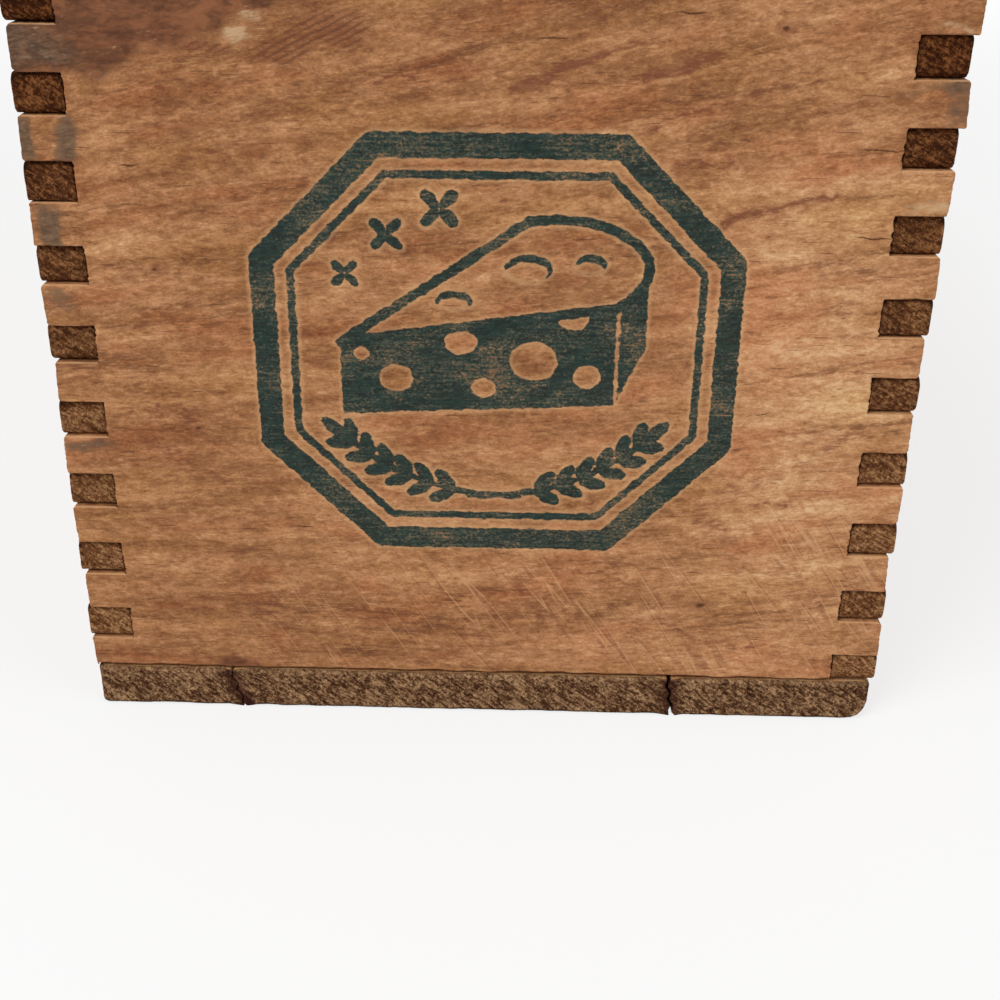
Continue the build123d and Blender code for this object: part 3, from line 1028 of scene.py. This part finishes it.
# Dark streaks in the figure: width, strength and the corners they follow
front_lines = (
    (0.9, 0.9, ((2.5, 74), (7.6, 75.6))), (0.9, 1.0, ((7.6, 76.2), (12, 77.8), (18.4, 79.6))),
    (1.1, 1.0, ((16, 74.6), (20, 76.6), (25.6, 78.4))),
    (0.7, 0.8, ((15, 69.5), (22, 72), (27, 74), (34, 75))),
    (0.5, 0.9, ((19.5, 66.6), (23, 67.2), (26, 66.5))), (1.1, 0.8, ((26.6, 68.4), (27.6, 66.6))),
    (0.9, 0.6, ((31.5, 71), (38, 73), (42, 74))),
    (0.8, 0.9, ((24, 59), (29.5, 61.5), (36.5, 63), (38.5, 62.8))),
    (0.5, 0.9, ((-12.4, 74.7), (-9, 75))), (0.35, 0.8, ((-9.6, 75.1), (-3, 75.2))),
    (0.35, 0.8, ((-10.5, 76.4), (-6.5, 76.5))), (2.2, 0.5, ((-5, 76), (1, 78))),
    (2.2, 0.6, ((-43, 36.5), (-39, 36.3), (-34, 36.5))),
    (1.9, 0.8, ((-41, 33.2), (-39, 31.8), (-36, 30.8))),
    (0.9, 0.7, ((-35.4, 30), (-32.6, 28), (-30, 25))), (0.55, 0.9, ((-37, 49.3), (-30.5, 50.3))),
    (0.4, 0.9, ((-40.6, 47.4), (-38, 47.5))), (0.9, 0.6, ((-44, 54), (-40, 53.4), (-34, 55))),
    (0.6, 0.7, ((21.5, 8.6), (29.5, 5.5), (41.5, 4.5))), (1.6, 0.7, ((-19, 61), (-17, 57))),
    (1.5, 0.6, ((-22, 42), (-18, 44))), (1.0, 0.5, ((31, 47), (33, 49.4), (36, 52))),
    (1.0, 0.6, ((37.3, 30), (41, 33.2), (44.5, 36))),
    (1.2, 0.55, ((26, 26.5), (31, 27.8), (37, 28.8))), (2.6, 0.55, ((26, 23.5), (30, 22.5))),
    (0.3, 0.9, ((32, 25.4), (38.4, 25.3))), (1.2, 0.6, ((-28, 70), (-20, 73), (-12, 77))),
    (0.9, 0.5, ((-38, 65), (-31, 66.5), (-24, 70))), (1.0, 0.5, ((-8, 80), (4, 84))),
    (0.35, 0.8, ((-42.4, 11.8), (-38.4, 12))),
    (1.6, 0.6, ((-31.5, 11.5), (-27, 10.8), (-22.5, 12))), (1.2, 0.6, ((-27, 8.6), (-22, 7.6))),
    (0.7, 0.5, ((-40.2, 3.6), (-38.6, 0.8))), (0.8, 0.45, ((-41.3, 8.4), (-38.2, 8.2))),
    (1.0, 0.6, ((4, 16), (14, 15.5), (22, 18))), (0.7, 0.5, ((-20, 4), (-8, 6), (6, 5))),
)

# Grey and rubbed patches, as above
front_greys = (
    (-48, 78.4, 5.0, 2.8, 0.6), (-50.3, 68.6, 1.4, 2.8, 1.2), (-45.5, 68.8, 1.1, 2.8, 0.8),
    (-48.6, 58.6, 1.5, 2.6, 0.95), (-48.8, 50.3, 1.7, 1.5, 0.55), (-48, 32.0, 4.0, 0.9, 0.6),
    (50.4, 73.6, 1.8, 2.6, 0.55), (47, 75.0, 3.5, 0.6, 0.4),
)
front_pales = (
    (-25.7, 79.9, 1.2, 0.8, 1.25), (-24.2, 81.6, 0.8, 0.6, 1.1), (49, 62.0, 2.6, 0.75, 1.0),
    (48.8, 80.9, 1.8, 0.3, 0.9),
)

# Where the plane chattered and the saw marked the face, as above
front_chatter = (
    (-21, 78.2, 3.4, 1.7, 1.1), (-15.5, 80.4, 4.0, 2.0, 1.2), (-29.3, 78.4, 3.2, 0.8, 1.0),
)
front_saw = ((3, 9, 22, 9, 1.3), (43, 14, 10, 13, 1.2), (24, 7, 9, 10, 1.1), (-22, 6, 5, 7, 0.9))


def front_streaks(p):
    """Dark streaks in the figure, and a bundle of fine ones at the left."""
    bundle = []
    for k in range(6):
        ends = (-43.0 + 0.7 * k, 39.4 - k), (-33.5 - 0.4 * k, 39.8 - k)
        bundle.append((0.3, 0.8, ends))
    return strokes(p, [*front_lines, *bundle])


def front_stain(p):
    """A dark stain over the upper left corner, and one where the bottom board split."""
    limit = [(-52, 75.8), (-41.6, 76.0), (-38.5, 77.4), (-33, 78.4), (-28, 80.6), (-25, 82.6)]
    corner = polygon(p, [*limit, (-18, 84), (-9, 91), (-52, 91)])
    fringe = patches(p, ((0, 86, 16, 4, 0.35), (24, 88, 20, 3, 0.25)))
    foot = strokes(p, ((1.5, 1.1, ((-35, 0.4), (-29.5, 0.6))),))
    return np.clip(0.6 - corner / 2.6, 0, 1) + fringe + foot


def front_fields(p):
    """Everything drawn on the front end panel's face, with uneven outlines."""
    space = in_space(p)
    for size, reach, seed in ((4.5, 1.0, 61), (1.1, 0.4, 63)):
        wander = (noise_at(space, size, seed), noise_at(space, size, seed + 1))
        p = p + reach * np.column_stack(wander)
    return {
        "tone": patches(p, front_tones),
        "streak": front_streaks(p),
        "stain": front_stain(p),
        "grey": patches(p, front_greys, 4),
        "pale": patches(p, front_pales),
        "scuff": np.clip(patches(p, front_saw), 0, 1),
        "comb": np.clip(patches(p, front_chatter), 0, 1),
    }


# Knots as (middle, size), and hair cracks as (middle, length, lean)
front_marks = {
    "knots": (
        ((27.6, 16.6), 0.85), ((5.9, 27.3), 0.4), ((31.2, 86.2), 0.5),
        ((-37.3, 59.6), 0.4), ((-34, 40), 0.35),
    ),
    "cracks": (
        ((21.4, 87.8), 4.8, -2), ((7.3, 85.2), 5.4, 0), ((42.6, 73.9), 6.2, 0),
        ((43.0, 64.3), 6.0, 1), ((-39, 71.4), 3.2, 2), ((33, 43), 2.6, 8),
        ((-22, 27), 3.4, -3), ((12, 91.5), 3.0, 0),
    ),
}


# Boards


def make_board(board, outline, looks, body, outer, inner=0.12):
    """One board of the box, in place of its CAD node."""
    rng = np.random.default_rng(board["seed"])
    radii = corner_radii(outline, outer, inner, rng)
    for place, width, _, _ in board["splits"]:
        for i in np.flatnonzero(np.abs(outline[:, 1] - place) < width):
            radii[i] = min(radii[i], split_radius)
    points, faces, kinds, edge = board_mesh(board, outline, radii, rng)
    flat = points[:, [board["along"], board["across"]]]
    attributes = {"edge": edge}
    down = np.abs(points[:, board["through"]] - board["face"])
    if board["fields"]:
        outside = down < mark_depth
        drawn = board["fields"](flat - np.array((0, wall_foot)))
        attributes.update({key: np.where(outside, values, 0) for key, values in drawn.items()})
        board["drawn"] = tuple(drawn)
    wall = (edge == 0) & (down > hair) & (down < board["thickness"] - hair)
    rough = wall & (np.abs(flat[:, 0]) > np.abs(outline[:, 0]).max() - dent_reach)
    dents = np.abs(noise_at(points[rough], 0.8, board["seed"] + 5))
    dents += 0.6 * np.abs(noise_at(points[rough], 2.2, board["seed"] + 6))
    out = np.sign(points[rough, board["along"]])
    points[rough, board["along"]] -= dents * board["wear"]["dents"] * out
    if board["stamped"]:
        shifted = points[:, [X, Z]] - np.array([stamp_x, stamp_z])
        near = down < hair
        distance = np.full(len(points), no_ink)
        distance[near] = stamp_distance(shifted[near])
        attributes["ink"] = distance
    if board["splits"]:
        shape_bottom_end(points, board)
    node = board["node"]
    piece = new_piece(node + "_worn", points, faces, kinds, attributes)
    face, end = looks
    for material in (
        planed(node + "_face", board, face, board["stamped"]),
        end_grain(node + "_end", board, end),
        planed(node + "_inside", dict(board, drawn=()), inside_pine),
    ):
        piece.data.materials.append(material)
    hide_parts(node)
    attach(piece, body)
    return piece


# Reach of the wear in millimetres: rounding of the outer and inner edges, chips and
# lumps in it, fraying of ends, notches and sides, the gap at the foot, and dents
wall_wear = dict(
    outer=0.17, inner=0.15, chip=0.3, lump=0.25, fray_end=0.16, fray_notch=0.4,
    fray_side=0.06, foot_gap=0.4, dents=0.16,
)
board_wear = dict(
    wall_wear, outer=0.5, inner=0.45, lump=0.3, fray_end=0.1, foot_gap=0.0, dents=0.24
)


def end_panels():
    """The stamped front end panel and the bare rear one."""
    for node, side, seed, stamped in (
        ("front_end_panel", -1, 1, True),
        ("rear_end_panel", 1, 2, False),
    ):
        board = board_at(node, X, Z, Y, side, seed, dark_rims=0, stamped=stamped)
        low, high = board["low"], board["high"]
        rng = np.random.default_rng(seed + 40)
        outline = uneven_ends(face_outline(node, Y, side, X, Z), (-0.45, 0.0), 0.15, rng)
        span = ((low[X], low[Z]), (high[X], high[Z]))
        look = dict(pine, slope=0.12, twist=0.0022, cloud_size=(0.05, 0.3, 0.1))
        if stamped:
            w, h = stamp_width / 2 + stamp_margin, stamp_height / 2 + stamp_margin
            stamp = ((stamp_x - w, stamp_z - h), (stamp_x + w, stamp_z + h), stamp_step)
            board["zones"] = [stamp, (*span, face_step)]
            board["fields"] = front_fields
            look.update(marks=front_marks)
            right = outline[:, 0] > half_width - 1
            height = outline[right, 1] - wall_foot
            outline[right, 0] += proud * np.clip((height - proud_from) / proud_over, 0, 1)
        else:
            board["zones"] = [(*span, rear_step)]
        make_board(board, outline, (look, sawn), "box", (0.2, 0.6))


def long_look(slope, marks):
    """Pine of the long boards, with a straighter figure and knots."""
    return dict(
        pine, slope=slope, sway=7.0, sway_size=0.007, cloud_size=(0.012, 0.17, 0.1),
        wisp_size=(0.006, 0.22, 0.1), tone=0.48, cloud=1.3, wisps=0.7, marks=marks,
    )


long_marks = {
    "left_side_panel": {
        "knots": (((-96, 62), 2.6), ((18, 31), 1.8), ((104, 71), 1.2), ((64, 20), 0.9)),
        "cracks": (((-60, 84), 16, 0), ((120, 40), 12, 1), ((-20, 12), 9, -1)),
    },
    "right_side_panel": {
        "knots": (((-40, 24), 2.2), ((71, 58), 3.0), ((128, 22), 1.1)),
        "cracks": (((-112, 49), 14, 0), ((20, 80), 10, 1)),
    },
    "lid_board": {
        "knots": (((-70, 14), 2.4), ((42, -22), 3.2), ((118, 30), 1.3), ((-20, -38), 1.0)),
        "cracks": (((-136, -9), 26, 0), ((90, -2), 12, 1), ((10, 33), 9, 0)),
    },
    "bottom_board": {
        "knots": (((-30, -18), 3.0), ((85, 26), 2.0)),
        "cracks": (((60, 5), 18, 0),),
    },
}


def side_panels():
    """The two long side panels, whose fingers' ends show at both ends of the box."""
    for node, side, seed in (("left_side_panel", -1, 3), ("right_side_panel", 1, 4)):
        board = board_at(node, Y, Z, X, side, seed)
        rng = np.random.default_rng(seed + 40)
        outline = uneven_ends(face_outline(node, X, -side, Y, Z), (-0.5, 0.02), 0.12, rng)
        looks = (long_look(side * 0.012, long_marks[node]), sawn)
        piece = make_board(board, outline, looks, "box", (0.6, 1.3))
        if side > 0:
            carve(piece, hinge_recesses("body"))


def hinge_recesses(leaf):
    """Room in a board for the leaves of both hinges, from the leaves' own boxes."""
    shapes = []
    down, up = (recess_depth, 1) if leaf == "body" else (1, recess_depth)
    for end in ("front", "rear"):
        low, high = node_box(f"{end}_hinge_{leaf}_leaf")
        first = (low[X] - recess_gap, low[Y] - recess_gap, wall_top - down)
        last = (half_width + 1, high[Y] + recess_gap, wall_top + up)
        shapes.append(block_shape(first, last))
    return shapes


def shape_bottom_end(points, board):
    """Leans the checks in the bottom board's front end, spreads their feet and rounds
    its worn lower corner."""
    x, y, z = points.T
    back = y - board["low"][Y]
    share = z / board["thickness"] - 0.5
    for place, width, length, lean in board["splits"]:
        away = x - place
        near = np.exp(-((away / 2.5) ** 2)) * np.exp(-back / length)
        wave = 0.22 * np.sin(3.2 * z)
        x = x - near * (lean * share + wave)
        foot = np.clip(1 - z / 0.9, 0, 1) * np.exp(-np.abs(away) / 0.6) * np.exp(-back / 2)
        x = x + 0.4 * width / 0.6 * foot * np.sign(away)
    radius = worn_corner * np.exp(-np.clip(back, 0, None) / 14)
    middle_x, middle_z = board["high"][X] - radius, radius
    over = (x > middle_x) & (z < middle_z)
    reach = np.hypot(x - middle_x, z - middle_z)
    share = np.where(over & (reach > radius), radius / np.maximum(reach, 1e-6), 1)
    points[:, X] = np.where(over, middle_x + (x - middle_x) * share, x)
    points[:, Z] = np.where(over, middle_z + (z - middle_z) * share, z)


def bottom_and_lid():
    """The nailed bottom board, split at its front end, and the flat lid."""
    for node, side, seed, body, slot in (
        ("bottom_board", -1, 5, "box", "bottom_wood"),
        ("lid_board", 1, 6, "lid", "lid_wood"),
    ):
        board = board_at(node, Y, X, Z, side, seed, wear=board_wear)
        outline = box_outline(node, Y, X)
        low, high = board["low"], board["high"]
        # The boards' ends get a painted highlight, partly also wear, on edges facing up, and a
        # painted shade on edges facing down
        ends = dict(
            sawn, foot=-1.0, head=200.0, low_dark="573823", low_pale="c09870", lean=-38.0,
            tone=0.49, fibres=0.62, curls=0.35, rim=0.3, shade=-1.0,
        )
        if node == "bottom_board":
            board["splits"] = checks
            outline = split_end(outline, checks)
            corner = ((low[Y] - 1, high[X] - 4), (low[Y] + 12, high[X] + 1), 0.4)
            board["zones"] = [corner, *board["zones"]]
        looks = (long_look(0.01, long_marks[node]), ends)
        piece = make_board(board, outline, looks, body, (0.8, 1.3), 0.04)
        if node == "lid_board":
            carve(piece, hinge_recesses("lid"))
        else:
            carve(piece, nail_holes())


def nail_holes():
    """Room in the bottom board for the nails' heads, round each of them."""
    bm = cad_mesh("bottom_nails")
    bm.verts.index_update()
    done = set()
    shapes = []
    for vert in bm.verts:
        if vert in done:
            continue
        grown = {vert}
        group = set(grown)
        while grown:
            grown = {e.other_vert(v) for v in grown for e in v.link_edges} - group
            group |= grown
        done |= group
        head = [np.array(v.co) / MM for v in sorted(group, key=lambda v: v.index)]
        middle = np.mean([h for h in head if h[Z] < 0.66], axis=0)
        radius = max(math.hypot(*(h - middle)[:2]) for h in head)
        top = max(h[Z] for h in head if math.hypot(*(h - middle)[:2]) > 0.9 * radius)
        shapes.append(round_shape(*middle[:2], -1, top + hole_gap, radius + hole_gap))
    bm.free()
    return shapes


# Metal


def brass(name, bright, dark):
    """Old brass, browned in patches, with dark specks."""
    s = Shader(name)
    tarnish = s.noise(s.place, (0.5, 0.5, 0.5), 5.0, 0.7)
    specks = s.noise(s.place, (4.0, 4.0, 4.0), 2.0)
    tint = s.blend(s.ease(tarnish, 0.2, 0.8), bright, dark)
    tint = s.lay("3a2818", tint, s.ease(specks, 0.6, 0.85), 0.25)
    return s.finish(tint, s.level(tarnish, 0.34, 0.6), specks, 0.04, 0.5, 1.0)


def rust():
    """Rusted iron, for the nails."""
    s = Shader("rusty_iron")
    scale = s.noise(s.place, (1.2, 1.2, 1.2), 4.0, 0.7)
    tint = s.blend(s.ease(scale, 0.35, 0.65), "3b2a22", "7a4526")
    return s.finish(tint, 0.8, scale, 0.2, 0.3, 0.3)


def metal_parts():
    """Gives the CAD's metal pieces their finish."""
    old_brass = brass("old_brass", "a27c4c", "5c3f26")
    screw_brass = brass("screw_brass", "84623a", "4a3220")
    rusty_iron = rust()
    for name, node in frame["nodes"].items():
        if "hinge" in name or "latch" in name:
            metal = screw_brass if "screw" in name else old_brass
        elif name == "bottom_nails":
            metal = rusty_iron
        else:
            continue
        node.data.materials.clear()
        node.data.materials.append(metal)


# Stage: the floor's size, where it starts and ends its fade to white in metres, how
# white it looks near the box, and the light of the sky
floor_size = 12
white_from = 0.2
white_at = 0.75
near_white = 0.72
sky_light = 0.44


def seen(tree):
    """1 for what the camera sees, also in a gloss, and 0 for the light on things."""
    rays = add_node(tree, "LightPath")
    values = {0: rays["Is Camera Ray"], 1: rays["Is Glossy Ray"]}
    return add_node(tree, "Math", values, operation="MAXIMUM")[0]


def floor():
    """A plain pale floor, which fades to white away from the box."""
    bpy.ops.mesh.primitive_plane_add(size=floor_size)
    plane = bpy.context.object
    plane.name = "floor"
    s = Shader("floor")
    s.surface.inputs["Base Color"].default_value = (0.94, 0.94, 0.94, 1)
    s.surface.inputs["Roughness"].default_value = 0.9
    s.surface.inputs["Specular IOR Level"].default_value = 0.1
    place = s.node("NewGeometry")["Position"]
    away = s.node("VectorMath", {0: place}, operation="LENGTH")["Value"]
    fade = {"Value": away, "From Min": white_from, "From Max": white_at, "To Min": near_white}
    far = s.node("MapRange", fade, interpolation_type="SMOOTHSTEP")["Result"]
    white = s.node("Emission", {"Strength": 1.0})[0]
    shares = {0: s.times(far, seen(s.tree)), 1: s.surface.outputs[0], 2: white}
    mixed = s.node("MixShader", shares)[0]
    put(s.tree, mixed, s.tree.nodes["Material Output"].inputs["Surface"])
    plane.data.materials.append(s.material)


def world():
    """Soft light from all round, seen as white."""
    sky = bpy.data.worlds.new("sky")
    bpy.context.scene.world = sky
    sky.use_nodes = True
    background = sky.node_tree.nodes["Background"]
    background.inputs["Color"].default_value = (1, 1, 1, 1)
    values = {"Value": seen(sky.node_tree), "To Min": sky_light, "To Max": 1.0}
    strength = add_node(sky.node_tree, "MapRange", values)["Result"]
    put(sky.node_tree, strength, background.inputs["Strength"])


def lamp(name, place, size, power):
    """A soft square lamp in metres, aimed at the middle of the box."""
    data = bpy.data.lights.new(name, "AREA")
    data.size = size
    data.energy = power
    light = add_object(name, data)
    light.location = place
    way = np.array((0, 0, 0.05)) - np.array(place)
    level = math.hypot(way[0], way[1])
    light.rotation_euler = (math.atan2(level, -way[2]), 0, math.atan2(-way[0], way[1]))


def camera():
    """The photograph's view of the stamped end, from in front and above."""
    focal_pixels = 1389.0
    frame_pixels = 1000.0
    sensor = 36.0
    place = (4.5, face_y - 151.0, wall_foot + 102.3)
    down, roll, turn = 26.96, -0.22, 1.91
    data = bpy.data.cameras.new("camera")
    data.sensor_width = sensor
    data.lens = focal_pixels / frame_pixels * sensor
    data.shift_x = 0.02
    data.clip_start = 0.01
    view = add_object("camera", data)
    view.location = np.array(place) * MM
    view.rotation_euler = [math.radians(angle) for angle in (90 - down, roll, turn)]
    bpy.context.scene.camera = view


camera()
floor()
world()
lamp("key", (-0.5, -0.7, 0.85), 0.6, 6.6)
lamp("fill", (0.8, -0.35, 0.6), 0.9, 2.6)
end_panels()
side_panels()
bottom_and_lid()
metal_parts()

bpy.context.scene.view_settings.view_transform = "Standard"
